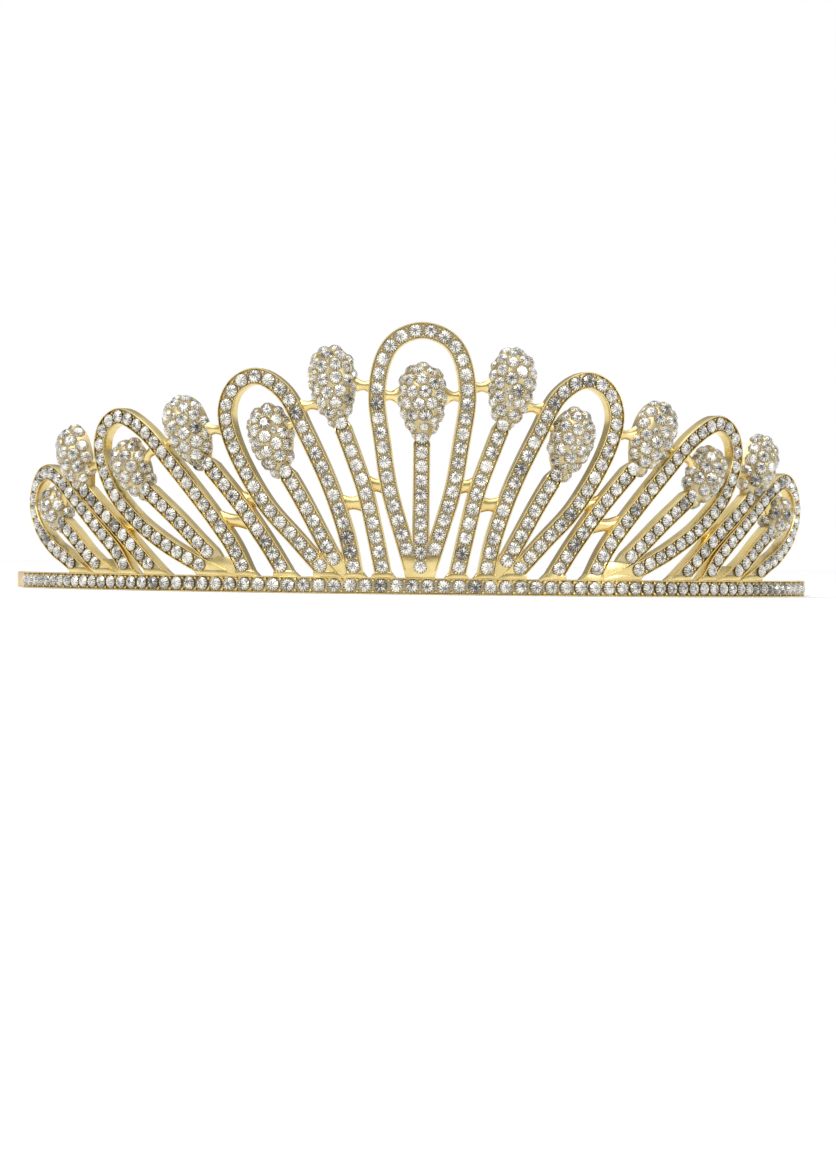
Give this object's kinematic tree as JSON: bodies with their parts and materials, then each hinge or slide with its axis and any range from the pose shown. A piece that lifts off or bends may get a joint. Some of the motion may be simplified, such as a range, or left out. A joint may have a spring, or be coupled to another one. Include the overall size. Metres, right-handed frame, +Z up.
{
  "type": "tiara",
  "caption": "Gold tiara: a pierced crest of stone-set loops and studded bulbs on a curved stone rail, with a plain headband strip and open tails.",
  "frame": {"origin": "middle of the bounding box's underside, level with the underside of the rail and the strip", "axes": "+Z up from the strip to the top of the centre loop, +Y from the crest towards the open tails, +X to the right as seen from the front"},
  "size_m": [0.1442, 0.0902, 0.0453],
  "materials": {
    "gold": "polished pale gold plate, the strip satin",
    "crystal": "clear round cut stones"
  },
  "bodies": {
    "root": {"frame": "gold", "rail_stones": "crystal", "center_loop_stones": "crystal", "inner_loop_stones_right": "crystal", "inner_loop_stones_left": "crystal", "middle_loop_stones_right": "crystal", "middle_loop_stones_left": "crystal", "outer_loop_stones_right": "crystal", "outer_loop_stones_left": "crystal"}
  },
  "joints": []
}
